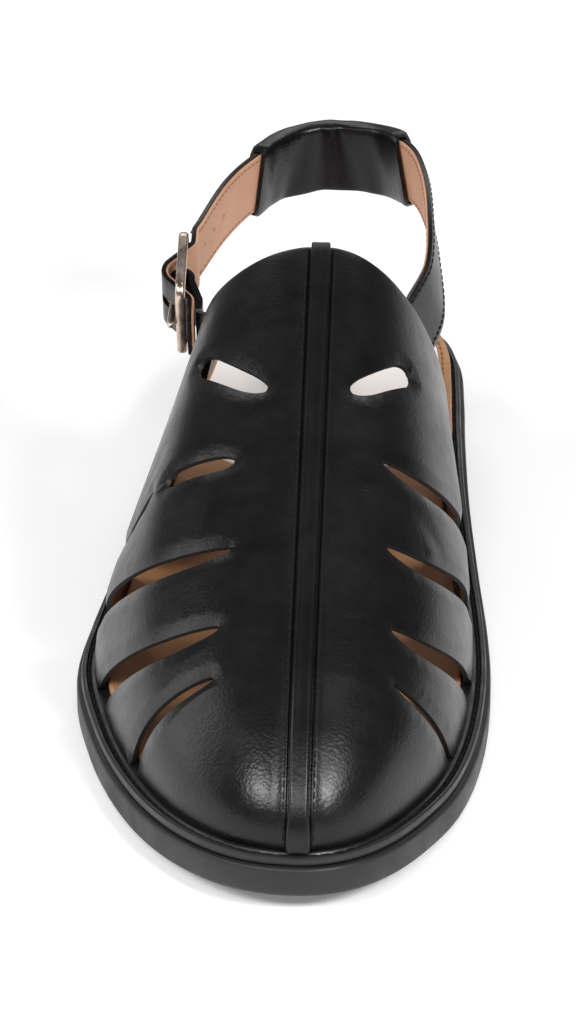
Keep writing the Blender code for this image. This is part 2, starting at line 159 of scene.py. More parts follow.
def made(name, points, faces, materials, slot=None, stands_for=(), sharp=35, pick=None):
    """A piece of the shoe as a mesh. pick(face centre, face normal) chooses each face's material."""
    mesh = bpy.data.meshes.new(name)
    mesh.from_pydata([placed(point) for point in points], [], faces)
    work = bmesh.new()
    work.from_mesh(mesh)
    bmesh.ops.remove_doubles(work, verts=work.verts, dist=1e-6)
    bmesh.ops.recalc_face_normals(work, faces=work.faces)
    if pick:
        for face in work.faces:
            face.material_index = pick(face.calc_center_median(), face.normal)
    work.to_mesh(mesh)
    work.free()
    for material in materials:
        mesh.materials.append(material)
    mesh.shade_smooth()
    mesh.set_sharp_from_angle(angle=math.radians(sharp))
    piece = stand(name, mesh)
    if slot:
        dress(piece, stands_for)
    return piece


def dress(piece, stands_for=()):
    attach(piece, "root")
    if stands_for:
        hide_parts(*stands_for)


def node(tree, kind, links=(), **settings):
    """A node with its settings made and its inputs linked or filled, by input name."""
    new = tree.nodes.new(kind)
    for key, value in settings.items():
        setattr(new, key, value)
    for key, value in dict(links).items():
        if isinstance(value, bpy.types.NodeSocket):
            tree.links.new(value, new.inputs[key])
        else:
            new.inputs[key].default_value = value
    return new


def finish(name, colour, rough, metal=0.0, coat=0.0, coat_rough=0.25, specular=0.5):
    """A Principled material with its constants set, its tree, its shader and its object coordinates."""
    material = bpy.data.materials.new(name)
    material.use_nodes = True
    shader = material.node_tree.nodes["Principled BSDF"]
    shader.inputs["Base Color"].default_value = (*colour, 1)
    shader.inputs["Roughness"].default_value = rough
    shader.inputs["Metallic"].default_value = metal
    shader.inputs["Coat Weight"].default_value = coat
    shader.inputs["Coat Roughness"].default_value = coat_rough
    shader.inputs["Specular IOR Level"].default_value = specular
    place = node(material.node_tree, "ShaderNodeTexCoord").outputs["Object"]
    return material, material.node_tree, shader, place


def spread(tree, factor, low, high, start=0.3, end=0.7):
    """A factor between start and end stretched to run from low to high."""
    reach = {"Value": factor, "From Min": start, "From Max": end, "To Min": low, "To Max": high}
    return node(tree, "ShaderNodeMapRange", reach).outputs["Result"]


def noise(tree, place, scale, detail=3.0, rough=0.5):
    return node(
        tree, "ShaderNodeTexNoise", {"Vector": place, "Scale": scale, "Detail": detail, "Roughness": rough}
    ).outputs["Fac"]


def bumped(tree, shader, layers):
    """Heights (socket, depth in metres) laid over each other on the shader's normal."""
    before = None
    for height, depth in layers:
        inputs = {"Height": height, "Distance": depth, "Strength": 1.0}
        if before:
            inputs["Normal"] = before
        before = node(tree, "ShaderNodeBump", inputs).outputs["Normal"]
    tree.links.new(before, shader.inputs["Normal"])


def tinted(tree, shader, factor, first, second):
    """Base colour that wanders between two colours."""
    ramp = node(tree, "ShaderNodeValToRGB", {"Fac": factor})
    ramp.color_ramp.elements[0].color = (*first, 1)
    ramp.color_ramp.elements[1].color = (*second, 1)
    tree.links.new(ramp.outputs["Color"], shader.inputs["Base Color"])


def rubber(name, depth=0.00003, bars=0.0):
    """Matt black rubber with a fine moulded skin, and cross bars where it treads."""
    material, tree, shader, place = finish(name, (0.016, 0.016, 0.016), 0.5, specular=0.45)
    fine = noise(tree, place, 2600, 2)
    dull = noise(tree, place, 90, 3)
    tree.links.new(spread(tree, dull, 0.42, 0.62), shader.inputs["Roughness"])
    tinted(tree, shader, dull, (0.0055, 0.0055, 0.0055), (0.011, 0.011, 0.0105))
    layers = [(fine, depth)]
    if bars:
        wave = node(tree, "ShaderNodeTexWave", {"Vector": place, "Scale": 40, "Distortion": 0.6})
        wave.bands_direction = "Y"
        layers.append((spread(tree, wave.outputs["Fac"], 0, 1, 0.3, 0.45), bars))
    bumped(tree, shader, layers)
    return material


sole_rubber = rubber("sole rubber")
tread_rubber = rubber("tread rubber", bars=0.0009)
FULL = np.linspace(0, math.pi, 181)
outsole_rows = (
    (0.0014, 0),
    (0.0008, 0.0001),
    (0.0003, 0.0005),
    (0, 0.0012),
    (0, 0.0040),
    (0, OUTSOLE_THICK - 0.0014),
    (0.0001, OUTSOLE_THICK - 0.0008),
    (0.0004, OUTSOLE_THICK - 0.0004),
    (0.0009, OUTSOLE_THICK - 0.0001),
    (0.0022, OUTSOLE_THICK),
)
rubbers = [sole_rubber, tread_rubber]
sole = plate(FULL, outsole_rows, lambda turn: 0, sole_bottom)
made("sole_unit", *sole, rubbers, "outsole", ("outsole",), pick=lambda centre, normal: int(normal.z < -0.9))


# Heel: a low stacked rubber block under the seat and a harder top lift that meets the floor, cemented one
# on the other. A fine line shows between them.
LIFT_THICK = 0.005
HEEL_INSET = 0.0012
HEEL = np.linspace(math.acos(1 - 2 * BREAST / LENGTH), math.pi, 90)
block_rows = (
    (0.0006, LIFT_THICK + GAP),
    (0.0002, LIFT_THICK + GAP + 0.0003),
    (0, LIFT_THICK + GAP + 0.0008),
    (0, HEEL_RISE - GAP),
)
block = plate(HEEL, block_rows, lambda turn: HEEL_INSET, lambda s: 0)
made("heel_stack", *block, [sole_rubber], "heel", ("heel_block",))
lift_rows = (
    (0.0010, 0),
    (0.0004, 0.0002),
    (0, 0.0010),
    (0, LIFT_THICK - 0.0007),
    (0.0002, LIFT_THICK - 0.0002),
    (0.0006, LIFT_THICK),
)
lift = plate(HEEL, lift_rows, lambda turn: HEEL_INSET, lambda s: 0)
made("top_lift", *lift, rubbers, "heel_lift", ("heel_lift",), pick=lambda centre, normal: int(normal.z < -0.9))


# Welt: a narrow black strip all round between the upper and the outsole, with a sunk channel for its
# stitches and a rounded outer lip.
WELT_THICK = 0.0025
WELT_INSET = 0.0012
welt_rows = (
    (0.0002, 0), (0, 0.0004),
    (0, WELT_THICK - 0.0010), (0.0002, WELT_THICK - 0.0004),
    (0.0006, WELT_THICK - 0.0001), (0.0010, WELT_THICK),
    (0.0013, WELT_THICK - 0.0001), (0.0016, WELT_THICK - 0.0007),
    (0.0020, WELT_THICK - 0.0009), (0.0023, WELT_THICK - 0.0007),
    (0.0026, WELT_THICK - 0.0001), (0.0029, WELT_THICK),
    (0.0040, WELT_THICK),
)


def welt_base(station):
    return sole_bottom(station) + OUTSOLE_THICK + GAP


welt_black, tree, shader, place = finish("welt black", (0.014, 0.014, 0.014), 0.4, specular=0.5)
worn = noise(tree, place, 140, 3)
tree.links.new(spread(tree, worn, 0.32, 0.55), shader.inputs["Roughness"])
tinted(tree, shader, worn, (0.0035, 0.0035, 0.0035), (0.009, 0.009, 0.0085))
bumped(tree, shader, [(noise(tree, place, 1400, 3), 0.00006), (noise(tree, place, 300, 2), 0.0001)])
strip = plate(FULL, welt_rows, lambda turn: WELT_INSET, welt_base)
made("welt_strip", *strip, [welt_black], "welt", ("welt",))


# Welt stitches: black waxed thread, one row all round in the channel of the welt.
def stitch_shape(name, length, thick):
    """One stitch along X: a capsule of a few faces."""
    rings = []
    for share, fat in ((-0.5, 0.35), (-0.36, 0.9), (0, 1), (0.36, 0.9), (0.5, 0.35)):
        ring = [(math.cos(math.radians(60 * k)), math.sin(math.radians(60 * k))) for k in range(6)]
        rings.append([(share * length, thick / 2 * fat * c, thick / 2 * fat * s) for c, s in ring])
    points, faces = loft(rings)
    mesh = bpy.data.meshes.new(name)
    mesh.from_pydata(points, [], faces)
    mesh.shade_smooth()
    return bpy.data.objects.new(name, mesh)


def stitch_tree():
    """Sets a stitch along each line of a mesh, end to end, and gives all of them one thread."""
    tree = bpy.data.node_groups.new("stitch run", "GeometryNodeTree")
    sockets = {}
    inputs = (("Line", "Geometry"), ("Pitch", "Float"), ("Stitch", "Object"), ("Thread", "Material"))
    for name, kind in inputs:
        socket = tree.interface.new_socket(name, in_out="INPUT", socket_type="NodeSocket" + kind)
        sockets[name] = socket.identifier
    tree.interface.new_socket("Stitches", in_out="OUTPUT", socket_type="NodeSocketGeometry")
    given = node(tree, "NodeGroupInput")
    curve = node(tree, "GeometryNodeMeshToCurve", {"Mesh": given.outputs["Line"]})
    run = node(
        tree,
        "GeometryNodeCurveToPoints",
        {"Curve": curve.outputs["Curve"], "Length": given.outputs["Pitch"]},
        mode="LENGTH",
    )
    turned = node(tree, "FunctionNodeAlignRotationToVector", {"Vector": run.outputs["Tangent"]}, axis="X")
    shape = node(tree, "GeometryNodeObjectInfo", {"Object": given.outputs["Stitch"]})
    set_down = node(
        tree,
        "GeometryNodeInstanceOnPoints",
        {
            "Points": run.outputs["Points"],
            "Instance": shape.outputs["Geometry"],
            "Rotation": turned.outputs["Rotation"],
        },
    )
    real = node(tree, "GeometryNodeRealizeInstances", {"Geometry": set_down.outputs["Instances"]})
    inked = node(
        tree,
        "GeometryNodeSetMaterial",
        {"Geometry": real.outputs["Geometry"], "Material": given.outputs["Thread"]},
    )
    result = node(tree, "NodeGroupOutput")
    tree.links.new(inked.outputs["Geometry"], result.inputs["Stitches"])
    return tree, sockets


STITCH_TREE, STITCH_SOCKETS = stitch_tree()


def stitched(name, lines, pitch, length, thick, thread):
    """Stitches along lines of world points as one plain mesh."""
    mesh = bpy.data.meshes.new(name + "_line")
    points = [tuple(point) for line in lines for point in line]
    edges, start = [], 0
    for line in lines:
        edges += [(start + i, start + i + 1) for i in range(len(line) - 1)]
        start += len(line)
    mesh.from_pydata(points, edges, [])
    carrier = stand(name + "_line", mesh)
    run = carrier.modifiers.new("stitches", "NODES")
    run.node_group = STITCH_TREE
    run[STITCH_SOCKETS["Pitch"]] = pitch
    shape = stitch_shape(name + "_shape", length, thick)
    run[STITCH_SOCKETS["Stitch"]] = shape
    run[STITCH_SOCKETS["Thread"]] = thread
    graph = bpy.context.evaluated_depsgraph_get()
    sewn = bpy.data.meshes.new_from_object(carrier.evaluated_get(graph))
    bpy.data.objects.remove(carrier)
    bpy.data.objects.remove(shape)
    piece = stand(name, sewn)
    dress(piece)
    return piece


def thread(name, colour):
    material, tree, shader, place = finish(name, colour, 0.7, specular=0.2)
    fuzz = noise(tree, place, 3000, 2)
    tinted(tree, shader, fuzz, tuple(c * 0.7 for c in colour), tuple(c * 1.3 for c in colour))
    bumped(tree, shader, [(fuzz, 0.00006)])
    return material


black_thread = thread("black thread", (0.006, 0.006, 0.006))
CHANNEL_IN = 0.0019
CHANNEL_DEPTH = 0.0007


def around(inset, height, start=-1.0):
    """World points round the sole: the outer side to the heel and back along the inner side."""
    line = []
    for side, turns in ((OUTER, FULL), (INNER, FULL[::-1])):
        for turn in turns:
            x, station = rim(turn, side, inset(turn))
            if station > start:
                line.append(placed((x, station, height(station))))
    return line


channel = around(lambda turn: WELT_INSET + CHANNEL_IN, lambda s: welt_base(s) + WELT_THICK - CHANNEL_DEPTH)
stitched("welt_stitches", [channel], 0.0034, 0.0029, 0.0008, black_thread)


# Insole: a board covered in tan leather, which fills the shoe inside the upper and widens over the open
# heel seat. A fine line of stitches runs round the edge of the seat.
INSOLE_THICK = 0.003
WALL = 0.002
FEATHER_INSET = 0.0046
SEAT_INSET = 0.0036
SEAT_START = 0.665
SEAT_RUN = 0.07


def welt_top(station):
    return welt_base(station) + WELT_THICK


def insole_inset(turn):
    share = (1 - math.cos(turn)) / 2
    inside = FEATHER_INSET + WALL + 0.0008
    return inside + (SEAT_INSET - inside) * eased((share - SEAT_START) / SEAT_RUN)


def tan_leather(name, light, dark, depth=0.00004):
    """Matt tan lining leather: fine pores, soft clouding and a little burnish."""
    material, tree, shader, place = finish(name, light, 0.6, specular=0.35)
    cloud = noise(tree, place, 55, 4, 0.6)
    pores = node(tree, "ShaderNodeTexVoronoi", {"Vector": place, "Scale": 1500}).outputs["Distance"]
    tinted(tree, shader, spread(tree, cloud, 0, 1), dark, light)
    tree.links.new(spread(tree, cloud, 0.5, 0.68), shader.inputs["Roughness"])
    bumped(tree, shader, [(pores, depth), (noise(tree, place, 500, 3), depth * 1.5)])
    return material


insole_tan = tan_leather("insole tan", (0.44, 0.23, 0.11), (0.30, 0.145, 0.062))
insole_rows = (
    (0.0004, 0),
    (0, 0.0005),
    (0, INSOLE_THICK - 0.0012),
    (0.0002, INSOLE_THICK - 0.0005),
    (0.0006, INSOLE_THICK - 0.0001),
    (0.0012, INSOLE_THICK),
)
board = plate(FULL, insole_rows, insole_inset, lambda s: welt_top(s) + GAP)
made("insole_sock", *board, [insole_tan], "insole", ("insole",))


# Heel pad: a thin pale leather cover, plain, cemented on the insole under the heel with a rounded front
# edge. It shows through the rear slots. Its pale colour is partly its own and partly painted light.
PAD_FRONT = 0.645 * LENGTH
PAD_INSET = 0.0032
PAD_THICK = 0.0006
PAD_CURVE = 0.020
# Painted light: the pad's colour is raised well above its own tone to stand for bright light on the heel seat.
pad_pale_painted_light, tree, shader, place = finish("pale pad leather with painted light", (0.78, 0.72, 0.68), 0.55)
soil = noise(tree, place, 40, 4)
tinted(tree, shader, soil, (0.80, 0.74, 0.70), (0.90, 0.86, 0.83))
bumped(tree, shader, [(noise(tree, place, 1600, 2), 0.00003)])
pad_rings = []
pad_stations = PAD_FRONT + PAD_CURVE * np.linspace(0, 1, 24) ** 2
pad_turns = [math.acos(1 - 2 * station / LENGTH) for station in pad_stations]
pad_turns += list(np.linspace(pad_turns[-1], math.pi - 0.06, 60)[1:])
for turn in pad_turns:
    inset = insole_inset(turn) + PAD_INSET
    (left, station), (right, _) = (rim(turn, side, inset) for side in (OUTER, INNER))
    into = station - PAD_FRONT
    narrow = max(1 - max(1 - into / PAD_CURVE, 0) ** 2.2, 0.004) ** 0.45
    floor_at = welt_top(station) + GAP + INSOLE_THICK
    middle, half = (left + right) / 2, (right - left) / 2 * narrow
    across = ((-1, 0), (-0.995, 0.8), (-0.97, 1), (0, 1), (0.97, 1), (0.995, 0.8), (1, 0))
    pad_rings.append([np.array([middle + half * b, station, floor_at + h * PAD_THICK]) for b, h in across])
made("heel_pad", *loft(pad_rings), [pad_pale_painted_light], "insole")
SEAT_STITCH_IN = 0.0022
SEAT_STITCH_START = 0.69 * LENGTH
seat_line = around(
    lambda turn: insole_inset(turn) + SEAT_STITCH_IN,
    lambda s: welt_top(s) + GAP + INSOLE_THICK + 0.00005,
    SEAT_STITCH_START,
)
tan_thread = thread("tan thread", (0.22, 0.11, 0.05))
stitched("seat_stitches", [seat_line], 0.0030, 0.0023, 0.0006, tan_thread)


# Upper: two vamp halves of smooth black calf, 2 mm thick with a tan lining, lasted over the welt and cut
# with swept slots. The slots' edges are turned and inked, and the bands between them swell a little.
INSTEP_HEIGHT = 0.0995
PIVOT = 0.13 * LENGTH
FLANK_TOP = 0.62
LAST = Table(
    (
        (0.000, 0.330, 2.30, 0.010, 0.010),
        (0.130, 0.480, 2.30, 0.010, 0.010),
        (0.195, 0.552, 2.20, 0.000, 0.010),
        (0.275, 0.640, 2.15, -0.015, 0.010),
        (0.360, 0.736, 2.10, -0.035, 0.010),
        (0.440, 0.832, 2.05, -0.050, 0.010),
        (0.520, 0.926, 2.05, -0.060, 0.020),
        (0.588, 1.000, 2.05, -0.085, 0.010),
        (0.670, 1.080, 2.05, -0.130, 0.000),
    )
)
REAR_EDGE = Table(
    (
        (0.00, 0.655), (0.20, 0.650),
        (0.30, 0.632), (0.42, 0.614),
        (0.55, 0.602), (0.70, 0.594),
        (0.85, 0.590), (1.00, 0.588),
    )
)

# Side, station and rise of the upper end, station and rise of the lower end, width at each end.
SLOTS = (
    (OUTER, 0.435, 0.86, 0.515, 0.58, 0.0050, 0.0060),
    (OUTER, 0.365, 0.78, 0.390, 0.52, 0.0045, 0.0050),
    (OUTER, 0.405, 0.44, 0.530, -1, 0.0045, 0.0050),
    (OUTER, 0.270, 0.77, 0.430, -1, 0.0040, 0.0060),
    (OUTER, 0.190, 0.70, 0.304, -1, 0.0040, 0.0066),
    (OUTER, 0.140, 0.64, 0.176, -1, 0.0025, 0.0040),
    (INNER, 0.435, 0.86, 0.510, 0.57, 0.0050, 0.0060),
    (INNER, 0.375, 0.72, 0.570, -1, 0.0045, 0.0050),
    (INNER, 0.285, 0.69, 0.460, -1, 0.0045, 0.0055),
    (INNER, 0.202, 0.62, 0.325, -1, 0.0040, 0.0060),
    (INNER, 0.150, 0.54, 0.202, -1, 0.0015, 0.0020),
)

# Side, station share and rise of both ends, half width and depth of a soft trough where the vamp flexes.
CREASES = (
    (OUTER, 0.186, 0.75, 0.172, 0.93, 0.0016, 0.00016),
    (OUTER, 0.262, 0.82, 0.250, 0.94, 0.0020, 0.00014),
    (OUTER, 0.345, 0.70, 0.325, 0.95, 0.0030, 0.00022),
    (OUTER, 0.400, 0.75, 0.420, 0.95, 0.0026, 0.00018),
    (INNER, 0.196, 0.68, 0.184, 0.90, 0.0016, 0.00016),
    (INNER, 0.278, 0.75, 0.262, 0.93, 0.0020, 0.00014),
    (INNER, 0.350, 0.66, 0.332, 0.95, 0.0030, 0.00022),
    (INNER, 0.392, 0.72, 0.412, 0.95, 0.0026, 0.00018),
    (INNER, 0.330, 0.30, 0.350, 0.60, 0.0030, 0.00025),
    (OUTER, 0.450, 0.20, 0.440, 0.50, 0.0030, 0.00025),
)
EDGE_ROLL = 0.0006
EDGE_DIP = 0.00012
DIP_REACH = 0.0016
CELL = 0.0014
GIRTH = 0.092

feather_line = {
    side: np.array([rim(turn, side, FEATHER_INSET) for turn in np.linspace(0, math.pi, 200)])
    for side in (OUTER, INNER)
}


def foot_at(side, station):
    line = feather_line[side]
    return np.array([np.interp(station, line[:, 1], line[:, 0]), station])


def skin(side, foot, rise):
    """The upper's outer face, by the foot of a section on the welt and rise 0 there to 1 on the crown."""
    share = max(foot[1], PIVOT) / LENGTH
    _, power, *flanks = LAST.at(share)
    angle = min(max(rise, 0), 1) * math.pi / 2
    swollen = math.sin(math.pi * min(max(rise, 0) / FLANK_TOP, 1)) ** 2
    across = max(math.cos(angle), 0) ** (2 / power) + flanks[0 if side == OUTER else 1] * swollen
    top = max(foot[1], PIVOT)
    station = top + (foot[1] - top) * across
    base = welt_top(station) + GAP
    crown = LAST.at(station / LENGTH)[0] * INSTEP_HEIGHT
    return np.array([foot[0] * across, station, base + (crown - base) * math.sin(angle) ** (2 / power)])


def on_skin(side, station, rise):
    return skin(side, foot_at(side, station), rise)


def slopes_at(side, station, rise):
    """How the point moves with its station and with its rise."""
    low, high = max(rise - 0.01, 0), min(rise + 0.01, 1)
    by_station = (on_skin(side, station + 0.001, rise) - on_skin(side, station - 0.001, rise)) / 0.002
    by_rise = (on_skin(side, station, high) - on_skin(side, station, low)) / (high - low)
    return np.column_stack([by_station, by_rise])


def slot_outline(row):
    """The slot's edge as (station, rise) places, and the way out from the slot at each."""
    side, top_share, top_rise, low_share, low_rise, top_width, low_width = row
    runs_out = low_rise < 0

    def spot(s):
        station = LENGTH * (top_share + (low_share - top_share) * abs(s) ** (2 if runs_out else 1.2))
        return station, top_rise + (max(low_rise, 0) - top_rise) * s

    shares = np.concatenate([[0, 0.003, 0.01, 0.022, 0.04, 0.065], np.linspace(0.1, 1, 34)])
    if not runs_out:
        shares = np.concatenate([shares[:6], np.linspace(0.1, 0.93, 26), [0.955, 0.975, 0.99, 1]])
    edges = {-1: [], 1: []}
    for s in shares:
        station, rise = spot(s)
        later, earlier = spot(min(s + 0.01, 1)), spot(max(s - 0.01, 0))
        slopes = slopes_at(side, station, rise)
        along = unit(slopes @ (np.array(later) - np.array(earlier)))
        normal = unit(np.cross(slopes[:, 0], slopes[:, 1]) * side)
        across = unit(np.cross(normal, along))
        width = top_width + (low_width - top_width) * s
        ends = min(1, s / 0.3) if runs_out else min(1, s / 0.3, (1 - s) / 0.2)
        half = width / 2 * math.sqrt(max(1 - (1 - ends) ** 2, 0)) + 0.0002
        back = np.linalg.pinv(slopes)
        for way in (-1, 1):
            step = back @ (across * half * way)
            edges[way].append((station + step[0], rise + step[1]))
    line = edges[-1][::-1] + edges[1]
    if runs_out:
        first, last = np.array(line[0]), np.array(line[-1])
        line.insert(0, tuple(first + (first - np.array(line[1])) * 3))
        line.append(tuple(last + (last - np.array(line[-2])) * 3))
    line = np.array(line)
    outward = []
    for i, (station, rise) in enumerate(line):
        ahead, behind = line[min(i + 1, len(line) - 1)], line[max(i - 1, 0)]
        slopes = slopes_at(side, station, max(rise, 0))
        normal = unit(np.cross(slopes[:, 0], slopes[:, 1]) * side)
        way_on = slopes @ (ahead - behind)
        way_out = unit(np.cross(way_on, normal))
        outward.append(np.linalg.pinv(slopes) @ way_out)
    return line, np.array(outward)


def inside(points, loop):
    """Which of the flat points lie inside a closed loop."""
    found = np.zeros(len(points), bool)
    for (ax, ay), (bx, by) in zip(loop, np.roll(loop, -1, axis=0)):
        crosses = (ay > points[:, 1]) != (by > points[:, 1])
        slant = (bx - ax) * (points[:, 1] - ay) / (by - ay if by != ay else 1e-12) + ax
        found ^= crosses & (points[:, 0] < slant)
    return found


def search_tree(points):
    """Points made ready for finding the one nearest to a place."""
    found = kdtree.KDTree(len(points))
    for i, point in enumerate(points):
        found.insert(point, i)
    found.balance()
    return found


RISES = np.linspace(0, 1, 67)
REAR_LINE = np.array([(REAR_EDGE.at(rise)[0] * LENGTH, rise) for rise in RISES])
RINGS = (0.00012, 0.0003, 0.0006, 0.0011, 0.0018)
places, faces, edge_samples = [], [], []
for side in (OUTER, INNER):
    outlines = [slot_outline(row) for row in SLOTS if row[0] == side]
    flat, lines = [], []

    def add_line(points, closed=False):
        start = len(flat)
        flat.extend((station, rise * GIRTH) for station, rise in points)
        lines.extend((start + i, start + i + 1) for i in range(len(points) - 1))
        if closed:
            lines.append((len(flat) - 1, start))

    crown_stations = np.linspace(PIVOT, REAR_LINE[-1][0], 90)
    foot_stations = np.linspace(PIVOT, REAR_LINE[0][0], 104)
    add_line([(PIVOT, rise) for rise in RISES])
    add_line([(station, 1.0) for station in crown_stations])
    add_line([(station, 0.0) for station in foot_stations])
    add_line(REAR_LINE)
    rear_inner = [(station - 0.0003, rise) for station, rise in REAR_LINE[1:-1]]
    rear_inner += [(station - 0.0008, rise) for station, rise in REAR_LINE[1:-1]]
    loops, keep_clear = [], []
    for line, _ in outlines:
        add_line(line, closed=True)
        loops.append(line * (1, GIRTH))
        for (s0, r0), (s1, r1) in zip(line[:-1], line[1:]):
            if min(r0, r1) >= -0.02:
                for share in np.linspace(0, 1, 9)[:-1]:
                    edge_samples.append((side, s0 + (s1 - s0) * share, r0 + (r1 - r0) * share))
                    keep_clear.append(on_skin(*edge_samples[-1]))
    near_edge = search_tree(keep_clear)
    for line, outward in outlines:
        for gap in RINGS:
            for station, rise in line + outward * gap:
                if 0.004 < rise < 0.996 and station > PIVOT + 0.0005:
                    if near_edge.find(on_skin(side, station, rise))[2] > 0.85 * gap:
                        flat.append((station, rise * GIRTH))
    for k, rise in enumerate(RISES[1:-1]):
        last = np.interp(rise, RISES, REAR_LINE[:, 0])
        for station in np.arange(PIVOT + CELL * (1 if k % 2 else 0.6), last - CELL * 0.9, CELL):
            if near_edge.find(on_skin(side, station, rise))[2] > 0.0026:
                flat.append((station, rise * GIRTH))
    flat += [(station, rise * GIRTH) for station, rise in rear_inner]
    coords, _, triangles, *_ = geometry.delaunay_2d_cdt([Vector(p) for p in flat], lines, [], 0, 1e-7)
    coords = np.array([tuple(p) for p in coords])
    triangles = np.array([tuple(t) for t in triangles])
    middles = coords[triangles].mean(axis=1)
    keep = (middles[:, 1] > 1e-6) & (middles[:, 1] < GIRTH - 1e-6) & (middles[:, 0] > PIVOT)
    keep &= middles[:, 0] < np.interp(middles[:, 1] / GIRTH, RISES, REAR_LINE[:, 0])
    for loop in loops:
        keep &= ~inside(middles, loop)
    start = len(places)
    places += [on_skin(side, station, min(max(v / GIRTH, 0), 1)) for station, v in coords]
    faces += [tuple(start + i for i in triangle) for triangle in triangles[keep]]

    toe_turns = np.linspace(0, math.pi / 2, 90)
    toe_turns = [t for t in toe_turns if rim(t, side, FEATHER_INSET)[1] < PIVOT - 0.0005]
    feet = [rim(turn, side, FEATHER_INSET) for turn in toe_turns] + [foot_at(side, PIVOT)]
    start = len(places)
    places += [skin(side, foot, rise) for foot in feet for rise in RISES]
    for i in range(len(feet) - 1):
        for j in range(len(RISES) - 1):
            corner = start + i * len(RISES) + j
            faces.append((corner, corner + 1, corner + len(RISES) + 1, corner + len(RISES)))

work = bmesh.new()
for point in places:
    work.verts.new(point)
work.verts.ensure_lookup_table()
for face in faces:
    if len(set(face)) == len(face):
        work.faces.new([work.verts[i] for i in face])
bmesh.ops.remove_doubles(work, verts=work.verts, dist=2e-6)
loose = [v for v in work.verts if not v.link_faces]
bmesh.ops.delete(work, geom=loose, context="VERTS")
bmesh.ops.triangulate(work, faces=work.faces)
bmesh.ops.recalc_face_normals(work, faces=work.faces)
work.normal_update()
work.verts.index_update()
crown = max(work.verts, key=lambda v: v.co.z)
facing = 1 if crown.normal.z > 0 else -1
base = np.array([v.co for v in work.verts])
normals = np.array([v.normal for v in work.verts]) * facing
sheet_faces = [[v.index for v in f.verts][::facing] for f in work.faces]
open_edges = []
for edge in work.edges:
    if len(edge.link_faces) == 1:
        loop = edge.link_loops[0]
        pair = (loop.vert.index, loop.link_loop_next.vert.index)
        open_edges.append(pair[::facing])
work.free()

samples = [on_skin(*sample) for sample in edge_samples]
for side in (OUTER, INNER):
    for rise in np.linspace(0, 1, 8 * len(REAR_LINE)):
        samples.append(on_skin(side, np.interp(rise, RISES, REAR_LINE[:, 0]), rise))
slot_edge = search_tree(samples)
from_edge = np.array([slot_edge.find(point)[2] for point in base])

sunk = np.zeros(len(base))
for side, s0, r0, s1, r1, half, depth in CREASES:
    shares = np.linspace(0, 1, 40)
    trough = search_tree([on_skin(side, LENGTH * (s0 + (s1 - s0) * u), r0 + (r1 - r0) * u) for u in shares])
    for i, point in enumerate(base):
        _, at, away = trough.find(point)
        if away < 3 * half:
            fade = math.sin(math.pi * shares[at])
            sunk[i] += depth * fade * math.exp(-((away / half) ** 2))
sunk += EDGE_DIP * np.exp(-((from_edge / DIP_REACH) ** 2))
roll = np.clip(EDGE_ROLL - from_edge, 0, EDGE_ROLL)
rolled = EDGE_ROLL - np.sqrt(np.maximum(EDGE_ROLL**2 - roll**2, 0))
outer_face = base - normals * (sunk + rolled)[:, None]
inner_face = base - normals * (WALL + sunk - rolled * 0.4)[:, None]


def leather(name, depth=1.0, shine=0.0):
    """Smooth black calf: fine even pores, faint creping and a soft sheen."""
    black = (0.006, 0.006, 0.006)
    material, tree, shader, place = finish(name, black, 0.4, coat=shine, coat_rough=0.3, specular=0.30)
    pores = node(tree, "ShaderNodeTexVoronoi", {"Vector": place, "Scale": 1300}, feature="SMOOTH_F1")
    crepe = noise(tree, place, 1100, 4, 0.6)
    drift = noise(tree, place, 45, 4, 0.55)
    rub = spread(tree, noise(tree, place, 210, 3, 0.6), 0.0, 0.08)
    tinted(tree, shader, spread(tree, drift, 0, 1), (0.0022, 0.0022, 0.0024), (0.0046, 0.0046, 0.0048))
    satin = spread(tree, drift, 0.24, 0.32)
    dull = node(tree, "ShaderNodeMath", {0: satin, 1: rub}, operation="ADD")
    tree.links.new(dull.outputs["Value"], shader.inputs["Roughness"])
    fine = ((drift, 0.00012), (crepe, 0.000022), (pores.outputs["Distance"], 0.00005))
    bumped(tree, shader, [(height, deep * depth) for height, deep in fine])
    return material


calf = leather("black calf")
lining_tan = tan_leather("lining tan", (0.36, 0.19, 0.095), (0.24, 0.12, 0.055))
inked_edge, tree, shader, place = finish("inked edge", (0.010, 0.009, 0.008), 0.55)
bumped(tree, shader, [(noise(tree, place, 1500, 3), 0.00006)])

count = len(base)
shell_faces = list(sheet_faces)
kinds = [0] * len(sheet_faces)
shell_faces += [[count + i for i in face[::-1]] for face in sheet_faces]
kinds += [1] * len(sheet_faces)
shell_faces += [(b, a, count + a, count + b) for a, b in open_edges]
kinds += [2] * len(open_edges)
mesh = bpy.data.meshes.new("vamp")
mesh.from_pydata([placed(p) for p in outer_face] + [placed(p) for p in inner_face], [], shell_faces)
for material in (calf, lining_tan, inked_edge):
    mesh.materials.append(material)
mesh.polygons.foreach_set("material_index", kinds)
mesh.shade_smooth()
mesh.set_sharp_from_angle(angle=math.radians(60))
vamp = stand("vamp", mesh)
dress(vamp, ("upper",))
vamp_skin = bvhtree.BVHTree.FromPolygons([tuple(p) for p in outer_face], sheet_faces)


